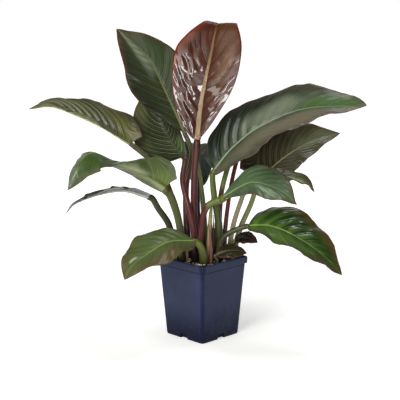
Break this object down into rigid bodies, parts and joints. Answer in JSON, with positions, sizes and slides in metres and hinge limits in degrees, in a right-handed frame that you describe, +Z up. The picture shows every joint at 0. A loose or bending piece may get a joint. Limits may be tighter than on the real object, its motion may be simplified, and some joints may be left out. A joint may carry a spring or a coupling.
{
  "type": "potted philodendron",
  "caption": "Potted house plant: long-stalked, glossy, wavy leaves in dark green, olive and red-brown, rising from soil in a square tapered plastic nursery pot.",
  "frame": {"origin": "centre of the pot's bottom face, on the plane it stands on", "axes": "+Z up the pot and the plant; -Y out of the vertical pot edge that faces the viewer; +X to the viewer's right. The pot stands corner-on, its sides at 45 degrees to X and Y"},
  "size_m": [0.6131, 0.3684, 0.5712],
  "materials": {
    "pot": "satin",
    "soil": "rough",
    "blade_red_brown": "glossy",
    "blade_deep_green": "glossy",
    "blade_olive": "glossy",
    "blade_brown_green": "glossy",
    "stalk_wine": "satin",
    "stalk_olive": "satin",
    "stalk_green": "satin",
    "stalk_brown_green": "satin",
    "sheath_brown": "matt",
    "sheath_straw": "matt",
    "crown": "matt"
  },
  "bodies": {
    "root": {"pot": "pot", "soil": "soil", "leaf_newest_blade": "blade_red_brown", "leaf_newest_stalk": "stalk_wine", "leaf_tall_left_blade": "blade_deep_green", "leaf_tall_left_stalk": "stalk_wine", "leaf_broad_behind_blade": "blade_deep_green", "leaf_broad_behind_stalk": "stalk_olive", "leaf_arching_left_blade": "blade_olive", "leaf_arching_left_stalk": "stalk_olive", "leaf_twisted_left_blade": "blade_deep_green", "leaf_twisted_left_stalk": "stalk_green", "leaf_edge_on_left_blade": "blade_deep_green", "leaf_edge_on_left_stalk": "stalk_olive", "leaf_front_left_blade": "blade_brown_green", "leaf_front_left_stalk": "stalk_green", "leaf_front_right_blade": "blade_olive", "leaf_front_right_stalk": "stalk_green", "leaf_long_right_blade": "blade_deep_green", "leaf_long_right_stalk": "stalk_olive", "leaf_back_right_blade": "blade_brown_green", "leaf_back_right_stalk": "stalk_olive", "leaf_middle_right_blade": "blade_deep_green", "leaf_middle_right_stalk": "stalk_wine", "leaf_curled_right_blade": "blade_olive", "leaf_curled_right_stalk": "stalk_brown_green", "leaf_drooping_back_blade": "blade_deep_green", "leaf_drooping_back_stalk": "stalk_olive", "leaf_behind_upper_blade": "blade_deep_green", "leaf_behind_upper_stalk": "stalk_green", "leaf_behind_lower_blade": "blade_olive", "leaf_behind_lower_stalk": "stalk_wine", "leaf_small_dark_blade": "blade_brown_green", "leaf_small_dark_stalk": "stalk_olive", "leaf_small_olive_blade": "blade_olive", "leaf_small_olive_stalk": "stalk_brown_green", "sheath_brown": "sheath_brown", "sheath_straw": "sheath_straw", "sheath_left": "sheath_straw", "crown_left": "crown", "crown_middle": "crown", "crown_right": "crown"}
  },
  "joints": []
}
